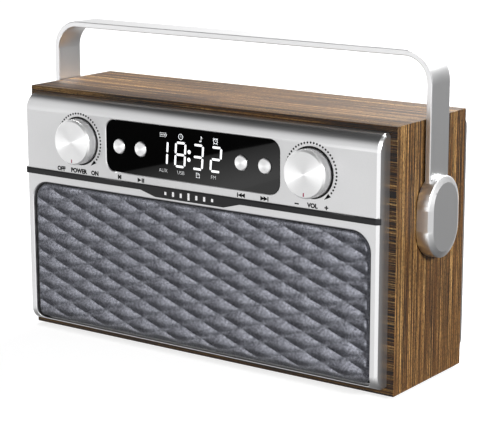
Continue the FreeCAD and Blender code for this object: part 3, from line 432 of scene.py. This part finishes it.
def grille_weave():
    """Plain woven cloth: warp and weft threads that pass over and under each other. Its normals lean a
    little more over each pillow than the cloth itself does. Its colour is painted paler at the foot, a
    painted highlight where the rounded foot catches light."""
    look = Look("grille_weave", Roughness=0.85, Specular_IOR_Level=0.2)
    pitch = 0.62
    x, _, z = look.split(look.place)
    across = look.maths("MULTIPLY", x, math.pi / pitch)
    up = look.maths("MULTIPLY", z, math.pi / pitch)
    over = look.maths("MULTIPLY", look.maths("SINE", across), look.maths("SINE", up))
    weft = look.maths("ABSOLUTE", look.maths("COSINE", up))
    warp = look.maths("ABSOLUTE", look.maths("COSINE", across))
    rise = look.maths("ADD", look.maths("MULTIPLY", over, 0.25), look.maths("MAXIMUM", weft, warp))
    fuzz = look.noise(look.place, 1.0, detail=2, roughness=0.7)
    clouds = look.noise(look.place, 0.06, detail=2)
    thread = look.sum_of((rise, 0.4), (fuzz, 0.6))
    colour = look.ramp(thread, (0.44, srgb(52, 53, 62)), (0.6, srgb(148, 150, 162)),
                       (0.76, srgb(232, 234, 246)))
    colour = look.mix(0.5, colour, look.ramp(clouds, (0.3, 0.82), (0.7, 1.0)), "MULTIPLY")

    def swell(way, shift):
        """Across one set of seams: 0 on a seam and 1 half way to the next."""
        share = look.maths("MULTIPLY_ADD", z, way / QUILT_TALL, -shift)
        share = look.maths("FRACT", look.maths("MULTIPLY_ADD", x, 1 / QUILT_WIDE, share))
        return look.maths("MULTIPLY", look.maths("MULTIPLY", share, 4), look.maths("SUBTRACT", 1.0, share))

    swelling = look.maths("MULTIPLY", swell(1, FALLING_SHIFT),
                          look.maths("POWER", swell(-1, RISING_SHIFT), SEAM_SOFTNESS))
    fade = look.smooth(z, FADE_LOW, FADE_HIGH)
    puff = look.maths("MULTIPLY", swelling, fade)
    # Painted highlight: towards the foot the colour turns paler, in place of the light that the rounded foot
    # catches.
    painted_foot_light = look.maths("MULTIPLY", look.maths("SUBTRACT", 1.0, fade), 0.35)
    look.set("Base_Color", look.mix(painted_foot_light, colour, srgb(226, 226, 232)))
    pillow_depth, thread_depth = 1.3, 0.08
    height = look.maths("MULTIPLY_ADD", puff, pillow_depth, look.maths("MULTIPLY", rise, thread_depth))
    look.bump(height, 1.0)
    return look.material


def glow(name, strength):
    """Lit segments behind the lens, a little brighter or dimmer in random patches."""
    look = Look(name, Roughness=0.4, Emission_Strength=strength)
    cells = look.noise(look.place, 1.2, detail=1)
    light = look.ramp(cells, (0.3, (0.90, 0.93, 0.96)), (0.7, (1.0, 1.0, 1.0)))
    look.set("Base_Color", light)
    look.set("Emission_Color", light)
    return look.material


# ---------------------------------------------------------------- flat graphics

class Graphic:
    """Thin flat shapes on a face that looks to the front or the back, gathered in one mesh."""

    def __init__(self, name, face, toward=-1, relief=INK_RELIEF):
        self.name = name
        self.face = face
        self.toward = toward
        self.relief = relief
        self.mesh = bmesh.new()

    def lift(self, points):
        """The two copies of an outline, one just above the face and one just below it."""
        outer = self.face + self.toward * self.relief
        inner = self.face - self.toward * INK_ROOT
        return [[self.mesh.verts.new((x * MM, y, z * MM)) for x, z in points] for y in (outer, inner)]

    def shape(self, points):
        """A filled outline, in millimetres across and up."""
        outer, inner = self.lift(points)
        self.mesh.faces.new(outer)
        self.mesh.faces.new(list(reversed(inner)))
        for index in range(len(points)):
            after = (index + 1) % len(points)
            self.mesh.faces.new((outer[after], outer[index], inner[index], inner[after]))

    def disc(self, x, z, radius, sides=20):
        self.shape(around(x, z, radius, radius, sides))

    def bar(self, start, end, width, round_ends=True):
        """A straight stroke between two points."""
        run = Vector((end[0] - start[0], end[1] - start[1]))
        angle = math.atan2(run.y, run.x)
        steps = 6 if round_ends else 1
        points = []
        for spot, first in ((end, angle - math.pi / 2), (start, angle + math.pi / 2)):
            for step in range(steps + 1):
                turn = first + math.pi * step / steps
                points.append((spot[0] + width / 2 * math.cos(turn), spot[1] + width / 2 * math.sin(turn)))
        self.shape(points)

    def hoop(self, points, width):
        """A closed line of even width through the middle of an outline."""
        for index, start in enumerate(points):
            self.bar(start, points[(index + 1) % len(points)], width)

    def text(self, words, x, z, height, bolder=INK_BOLDER):
        """Plain capitals centred on x and z. Their strokes are bolder by so many millimetres on every
        side, or thinner where that is below 0."""
        data = bpy.data.curves.new("words", "FONT")
        data.body = words
        data.align_x = "CENTER"
        data.align_y = "CENTER"
        data.size = height * CAPITAL * MM
        data.extrude = (self.relief + INK_ROOT) / 2
        data.offset = bolder * MM
        data.resolution_u = 3
        maker = bpy.data.objects.new("words", data)
        flat = bpy.data.meshes.new_from_object(maker)
        bpy.data.objects.remove(maker)
        stand = Matrix.Rotation(math.pi / 2, 4, "X")
        if self.toward > 0:
            stand = Matrix.Rotation(math.pi, 4, "Z") @ stand
        depth = self.face + self.toward * (self.relief - INK_ROOT) / 2
        flat.transform(Matrix.Translation((x * MM, depth, z * MM)) @ stand)
        self.mesh.from_mesh(flat)
        bpy.data.meshes.remove(flat)

    def build(self, material, body="cabinet"):
        bmesh.ops.recalc_face_normals(self.mesh, faces=self.mesh.faces)
        data = bpy.data.meshes.new(self.name)
        self.mesh.to_mesh(data)
        self.mesh.free()
        data.materials.append(material)
        made = bpy.data.objects.new(self.name, data)
        bpy.context.scene.collection.objects.link(made)
        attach(made, body)


def around(x, z, across, up, sides):
    """Points of an ellipse."""
    return [(x + across * math.cos(2 * math.pi * step / sides), z + up * math.sin(2 * math.pi * step / sides))
            for step in range(sides)]


# Which strokes of a seven-stroke digit are lit: top, upper left, upper right, middle, lower left,
# lower right, bottom.
DIGIT_STROKES = {
    "1": "0010010",
    "2": "1011101",
    "3": "1011011",
    "8": "1111111",
}


def digit(graphic, figure, x, z):
    """One leaning seven-stroke digit about its middle. Its level strokes lie in the middle and at rise
    above and below, and run reach to each side. The upright ones lie half_width to the sides, and run
    drop up and down from their own middles."""
    half_width, rise, lean, stroke = 3.45, 7.05, 0.071, 1.35
    reach, drop = 2.2, 2.35

    def spot(across, up):
        return x + across + up * lean, z + up

    strokes = [
        (spot(-reach, rise), spot(reach, rise)),
        (spot(-half_width, rise / 2 + drop), spot(-half_width, rise / 2 - drop)),
        (spot(half_width, rise / 2 + drop), spot(half_width, rise / 2 - drop)),
        (spot(-reach, 0), spot(reach, 0)),
        (spot(-half_width, -rise / 2 + drop), spot(-half_width, -rise / 2 - drop)),
        (spot(half_width, -rise / 2 + drop), spot(half_width, -rise / 2 - drop)),
        (spot(-reach, -rise), spot(reach, -rise)),
    ]
    for lit, (start, end) in zip(DIGIT_STROKES[figure], strokes):
        if lit == "1":
            graphic.bar(start, end, stroke)


def display():
    """The lit time, the row of small symbols above it and the row of source names below it."""
    middle = middle_of("display_window").z / MM
    digits = Graphic("display_digits", LENS_FACE)
    centres = {-20.2: "1", -7.15: "8", 5.6: "3", 18.6: "2"}
    for x, figure in centres.items():
        digit(digits, figure, x, middle - 0.15)
    colon = ((-0.62, 2.2), (-0.88, -2.4))
    for x, up in colon:
        digits.disc(x, middle + up, 1.2)
    digits.build(glow("digit_glow", 1.0))

    marks = Graphic("display_symbols", LENS_FACE)
    row = middle + 10.5
    battery_symbol(marks, -19.8, row)
    clock_symbol(marks, -6.7, row, 1.6)
    note_symbol(marks, 7.9, row)
    clock_symbol(marks, 18.4, row, 1.4, bells=True)
    words = middle - 10.9
    for x, name in ((-19.9, "AUX"), (-6.9, "USB"), (16.8, "FM")):
        marks.text(name, x, words, 2.15, -0.05)
    card_symbol(marks, 5.6, words)
    marks.build(glow("symbol_glow", 0.4))


def battery_symbol(graphic, x, z):
    half, tall = 2.1, 1.1
    case = [(x - half, z - tall), (x + half, z - tall), (x + half, z + tall), (x - half, z + tall)]
    graphic.hoop(case, 0.22)
    graphic.bar((x + half + 0.45, z - 0.4), (x + half + 0.45, z + 0.4), 0.5)
    for number in range(3):
        across = x - 1.25 + number * 1.2
        graphic.bar((across, z - 0.45), (across, z + 0.45), 0.7, round_ends=False)


def clock_symbol(graphic, x, z, radius, bells=False):
    graphic.hoop(around(x, z, radius, radius, 20), 0.28)
    graphic.bar((x, z), (x, z + radius * 0.62), 0.25)
    graphic.bar((x, z), (x + radius * 0.5, z), 0.25)
    if bells:
        for side in (-1, 1):
            out = side * radius
            graphic.disc(x + out * 0.85, z + radius * 0.95, 0.5, 10)
            graphic.bar((x + out * 0.6, z - radius * 0.85), (x + out, z - radius * 1.3), 0.4)


def note_symbol(graphic, x, z):
    """A plain music note."""
    graphic.shape(around(x - 0.45, z - 1.2, 0.75, 0.5, 14))
    graphic.bar((x + 0.2, z - 1.2), (x + 0.2, z + 1.5), 0.38)
    graphic.bar((x + 0.2, z + 1.5), (x + 1.0, z + 0.6), 0.42)


def card_symbol(graphic, x, z):
    """A memory card with one corner cut off."""
    half, tall, cut = 1.15, 1.3, 0.7
    graphic.hoop([(x - half, z - tall), (x + half, z - tall), (x + half, z + tall - cut),
                  (x + half - cut, z + tall), (x - half, z + tall)], 0.32)
    for across in (-0.5, 0.0, 0.5):
        graphic.bar((x + across, z + 0.2), (x + across, z + 0.75), 0.24)


def turn_marks(graphic, centre):
    """A dotted arc that runs clockwise over a knob, and an arrowhead at its end."""
    reach, dot = 16.8, 0.62
    first, last, pitch, head = 212, -38, 7.1, -43
    for number in range(int((first - last) / pitch) + 1):
        angle = math.radians(first - number * pitch)
        graphic.disc(centre.x + reach * math.cos(angle), centre.z + reach * math.sin(angle), dot, 10)
    arrowhead(graphic, centre.x, centre.z, reach, math.radians(head))


def panel_print():
    """Dotted arcs with arrowheads round the knobs, and the plain words and symbols under the controls."""
    ink = Graphic("panel_print", PANEL_FACE)
    # The line that all the words and symbols stand on.
    line = middle_of("power_knob").z / MM - 18.7
    for knob in ("power_knob", "volume_knob"):
        turn_marks(ink, middle_of(knob) / MM)
    power = middle_of("power_knob").x / MM
    for word, aside in (("OFF", -14.9), ("POWER", -0.9), ("ON", 11.9)):
        ink.text(word, power + aside, line, 2.5)
    volume = middle_of("volume_knob").x / MM
    ink.bar((volume - 10.8, line), (volume - 8.0, line), 0.8, round_ends=False)
    ink.text("VOL", volume + 1.1, line, 2.4)
    ink.bar((volume + 9.1, line), (volume + 11.5, line), 0.75, round_ends=False)
    ink.bar((volume + 10.3, line - 1.2), (volume + 10.3, line + 1.2), 0.75, round_ends=False)
    ink.text("M", middle_of("mode_button").x / MM, line, 2.4)
    x = middle_of("play_button").x / MM
    triangle(ink, x - 1.1, line, 1)
    for across in (1.0, 2.1):
        ink.bar((x + across, line - 1.3), (x + across, line + 1.3), 0.8, round_ends=False)
    for button, way in (("previous_button", -1), ("next_button", 1)):
        x = middle_of(button).x / MM
        triangle(ink, x - 1.4 * way, line, way)
        triangle(ink, x + 0.8 * way, line, way)
        ink.bar((x + way * 2.4, line - 1.35), (x + way * 2.4, line + 1.35), 0.7, round_ends=False)
    ink.build(ink_look("panel_ink"))


def socket_print():
    """A name above each socket. The rear cover is the back of the CAD model, so this ink is very thin."""
    ink = Graphic("socket_print", COVER_FACE, toward=1, relief=THIN_RELIEF)
    line = middle_of("aux_jack").z / MM + 8
    for node, name in (("aux_jack", "AUX"), ("usb_port", "USB"), ("charge_port", "DC 5V")):
        ink.text(name, middle_of(node).x / MM, line, 2.4)
    card_symbol(ink, middle_of("card_slot").x / MM, line)
    ink.build(ink_look("socket_ink"))


def ink_look(name):
    """Matt black printing ink."""
    return grainy(name, srgb(12, 12, 13), 0.7, grain=0.3, depth=0.002, Specular_IOR_Level=0.1)


def triangle(graphic, x, z, way, half=1.4):
    graphic.shape([(x - half * way, z - half), (x + half * way, z), (x - half * way, z + half)])


def arrowhead(graphic, x, z, reach, angle):
    """A filled head at the end of an arc, pointing clockwise."""
    length, half = 4.6, 1.25
    spread = length / reach
    points = [(reach - half, angle), (reach, angle - spread), (reach + half, angle)]
    graphic.shape([(x + radius * math.cos(turn), z + radius * math.sin(turn)) for radius, turn in points])


# ---------------------------------------------------------------- quilted grille cloth

def pillow(x, z):
    """How far the quilting swells at a point: 0 in the seams and 1 in the middle of each pillow. The
    falling seams are sharp and the rising ones are softer."""
    falling = x / QUILT_WIDE + z / QUILT_TALL - FALLING_SHIFT
    rising = x / QUILT_WIDE - z / QUILT_TALL - RISING_SHIFT
    falling = falling - np.floor(falling)
    rising = rising - np.floor(rising)
    return 4 * falling * (1 - falling) * (4 * rising * (1 - rising)) ** SEAM_SOFTNESS


def inside_edge(x, z, low, high, bottom_corner, top_corner):
    """How far a point lies inside a rectangle with rounded corners."""
    corner = np.where(z > (low[1] + high[1]) / 2, top_corner, bottom_corner)
    across = np.abs(x - (low[0] + high[0]) / 2) - (high[0] - low[0]) / 2 + corner
    up = np.abs(z - (low[1] + high[1]) / 2) - (high[1] - low[1]) / 2 + corner
    outside = np.hypot(np.maximum(across, 0), np.maximum(up, 0))
    return corner - outside - np.minimum(np.maximum(across, up), 0)


def smooth_step(value, low, high):
    share = np.clip((value - low) / (high - low), 0, 1)
    return share * share * (3 - 2 * share)


def grille_cloth():
    """Cloth stretched over a quilted form. It follows the rounded lower edge of the panel, whose radius is
    nose and whose top is nose_rise. The pillows stand relief high, and at its border the cloth goes in by
    relief and tuck together."""
    # The cloth stops this many millimetres short of the opening at the sides and the top. The black frame
    # shows there as a dark line, a painted shadow in place of the shade in the recess.
    shadow_gap = 0.9
    half = CLOTH_HIGH.x / MM - shadow_gap
    low, high = CLOTH_LOW.z / MM, CLOTH_HIGH.z / MM - shadow_gap
    crest = CLOTH_LOW.y / MM - 0.6
    nose = 9.1
    nose_rise = PANEL_LOW.z / MM + 9.4
    bottom_corner, top_corner = 3.8, 10.8
    relief, tuck, border = 1.2, 0.75, 1.6
    columns, rows = 400, 176

    # Run up the side view: first round the lower edge, then straight up.
    first_angle = math.asin((nose_rise - low) / nose)
    bend = nose * first_angle
    run = np.linspace(0, bend + high - nose_rise, rows)
    angle = np.maximum(first_angle - run / nose, 0)
    z = np.where(run < bend, nose_rise - nose * np.sin(angle), nose_rise + run - bend)
    y = crest + nose - nose * np.cos(angle)
    lean = np.stack([-np.cos(angle), -np.sin(angle)], -1)

    corner = np.where(z > (low + high) / 2, top_corner, bottom_corner)
    into = np.maximum(corner - np.minimum(z - low, high - z), 0)
    reach = half - corner + np.sqrt(np.maximum(corner ** 2 - into ** 2, 0))
    x = np.linspace(-1, 1, columns)[None, :] * reach[:, None]
    rise = np.broadcast_to(z[:, None], x.shape)

    swell = pillow(x, rise)
    fade = smooth_step(rise, FADE_LOW, FADE_HIGH)
    inside = inside_edge(x, rise, (-half, low), (half, high), bottom_corner, top_corner)
    edge = 1 - smooth_step(inside, 0, border)
    sink = relief * (1 - swell) * fade * (1 - edge) + (relief * 0.5 * (1 - fade) + (relief + tuck) * edge)
    points = np.stack([x, y[:, None] - lean[:, None, 0] * sink, rise - lean[:, None, 1] * sink], -1)

    faces = [(row * columns + column, row * columns + column + 1,
              (row + 1) * columns + column + 1, (row + 1) * columns + column)
             for row in range(rows - 1) for column in range(columns - 1)]
    mesh = bpy.data.meshes.new("quilted_cloth")
    mesh.from_pydata((points.reshape(-1, 3) * MM).tolist(), [], faces)
    mesh.polygons.foreach_set("use_smooth", [True] * len(faces))
    mesh.materials.append(grille_weave())
    cloth = bpy.data.objects.new("quilted_cloth", mesh)
    bpy.context.scene.collection.objects.link(cloth)
    thicken = cloth.modifiers.new("thickness", "SOLIDIFY")
    thicken.thickness = 0.3 * MM
    thicken.offset = -1
    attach(cloth, "cabinet")
    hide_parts("grille_cloth")


# ---------------------------------------------------------------- looks of the CAD parts

def finish_node(name, material, bevel=0.0):
    """Give a CAD part its material and, where bevel is given, slightly rounded edges."""
    part = nodes[name]
    part.data.materials.clear()
    part.data.materials.append(material)
    if bevel:
        weld = part.modifiers.new("weld", "WELD")
        weld.merge_threshold = 0.001 * MM
        edges = part.modifiers.new("edges", "BEVEL")
        edges.width = bevel * MM
        edges.segments = 2
        edges.limit_method = "ANGLE"
        edges.angle_limit = math.radians(40)
        edges.harden_normals = True


def finish_cad_parts():
    slots = {row["node"]: row["material_slot"] for row in frame["record"]["subparts"]}
    by_slot = {
        "silver_shell": satin_silver(),
        "black_window": gloss_black(),
        "black_trim": grainy("trim_charcoal", srgb(34, 34, 36), 0.35, grain=0.5, depth=0.004,
                             Specular_IOR_Level=0.3),
        "badge_metal": brushed("badge_bright", (0.86, 0.86, 0.87), 0.22, "X"),
        "black_frame": grainy("frame_black", srgb(22, 22, 24), 0.55),
        "fibreboard": grainy("fibreboard", srgb(150, 116, 82), 0.85, grain=1.2, depth=0.1, spread=0.3),
        "speaker_steel": grainy("speaker_steel", srgb(42, 42, 44), 0.4, grain=0.6),
        "cone_paper": grainy("cone_paper", srgb(44, 44, 46), 0.8, grain=0.8, depth=0.06, spread=0.25),
        "ferrite": grainy("ferrite", srgb(66, 66, 68), 0.6, grain=0.5, depth=0.03),
        "red_mark": grainy("red_mark", srgb(196, 64, 98), 0.45, grain=0.3, depth=0.003),
        "dial_ring": grainy("ring_black", srgb(10, 10, 11), 0.3, grain=0.3, depth=0.002,
                            Specular_IOR_Level=0.2),
        "shaft_steel": brushed("shaft_steel", (0.6, 0.6, 0.62), 0.3, "Y"),
        "switch_body": grainy("switch_black", srgb(34, 34, 36), 0.45),
        "circuit_board": grainy("circuit_green", srgb(30, 92, 58), 0.35, grain=1.5, depth=0.01, spread=0.2),
        "chip_black": grainy("chip_black", srgb(30, 30, 32), 0.6),
        "sink_metal": brushed("sink_metal", (0.74, 0.74, 0.75), 0.4, "Z"),
        "cell_wrap": grainy("cell_wrap", srgb(44, 92, 150), 0.3, grain=1.0, depth=0.004),
        "socket_metal": brushed("socket_metal", (0.66, 0.66, 0.67), 0.28, "Y"),
        "screw_metal": brushed("screw_metal", (0.48, 0.48, 0.5), 0.32, "X"),
        "copper_foil": grainy("copper_foil", (0.78, 0.42, 0.26), 0.3, Metallic=1.0, grain=0.8, depth=0.01),
        "handle_metal": brushed("handle_metal", (0.79, 0.79, 0.795), 0.34, "Z", 0.0001),
        "foot_rubber": grainy("foot_rubber", srgb(34, 34, 36), 0.8, grain=0.7, depth=0.03),
        "nylon": grainy("nylon", srgb(28, 28, 30), 0.5),
    }
    upright = walnut("walnut_upright", True)
    level = walnut("walnut_level", False)
    boards = {"cabinet_left": upright, "cabinet_right": upright,
              "cabinet_top": level, "cabinet_bottom": level}
    # How wide the rounded edges are, in millimetres.
    soft_edges = {"silver_shell": 0.35, "handle_metal": 0.4, "black_trim": 0.12}
    for name, slot in slots.items():
        if name == "grille_cloth":
            continue
        if name in boards:
            finish_node(name, boards[name], bevel=0.25)
        elif slot == "knob_metal":
            finish_node(name, spun(f"spun_{name}", middle_of(name)))
        else:
            finish_node(name, by_slot[slot], bevel=soft_edges.get(slot, 0))


# ---------------------------------------------------------------- putting it together

def floor_look():
    """White paper, lit mostly by itself, so that it keeps only faint shadows."""
    look = Look("floor_paper", Roughness=0.9, Emission_Strength=0.8)
    tone = look.noise(look.place, 0.004, detail=2)
    look.set("Base_Color", look.ramp(tone, (0.3, 0.35), (0.7, 0.37)))
    look.set("Emission_Color", look.ramp(tone, (0.3, 0.99), (0.7, 1.0)))
    return look.material


def card_look():
    """A grey card that gets brighter from left to right, over so many millimetres from start."""
    start, over = -400, 110
    look = Look("grey_card", Roughness=1, Base_Color=(0, 0, 0), Emission_Strength=1)
    share = look.maths("MULTIPLY_ADD", look.split(look.place)[0], 1 / over, -start / over)
    look.set("Emission_Color", look.ramp(share, (0.0, 0.3), (1.0, 1.2)))
    return look.material


def black_card_look():
    look = Look("black_card", Roughness=1)
    look.set("Base_Color", look.ramp(look.noise(look.place, 0.01), (0.3, 0.0), (0.7, 0.001)))
    return look.material


def make_stage():
    """The floor, two cards that only reflections see, and the lamps."""
    floor = stage_plane("floor", [(-6, -6), (6, -6), (6, 6), (-6, 6)], 0, floor_look())
    floor.visible_glossy = False
    floor.visible_diffuse = False
    # The window reflects both cards, and the slanting edge that they share is the line across it. They
    # lie just under the floor.
    below = -0.001
    near, far = -0.455, -0.70
    edge = [(-0.407, near), (-0.371, far)]
    grey = edge + [(-0.27, far), (-0.27, near)]
    black = edge + [(-0.66, far - 0.05), (-0.48, near)]
    cards = [stage_plane("grey_card", grey, below, card_look()),
             stage_plane("black_card", black, below, black_card_look())]
    for card in cards:
        card.visible_camera = False
        card.visible_diffuse = False
        card.visible_shadow = False
    area_light("key", (2.01, -0.50, 0.82), (0, -0.045, 0.055), 0.35, 0.35, 48)
    area_light("back", (0.2, 1.3, 1.3), (0, 0, 0.1), 1.4, 0.8, 75)


make_camera()
make_world()
make_stage()
finish_cad_parts()
display()
panel_print()
socket_print()
grille_cloth()

bpy.context.scene.view_settings.view_transform = "Standard"
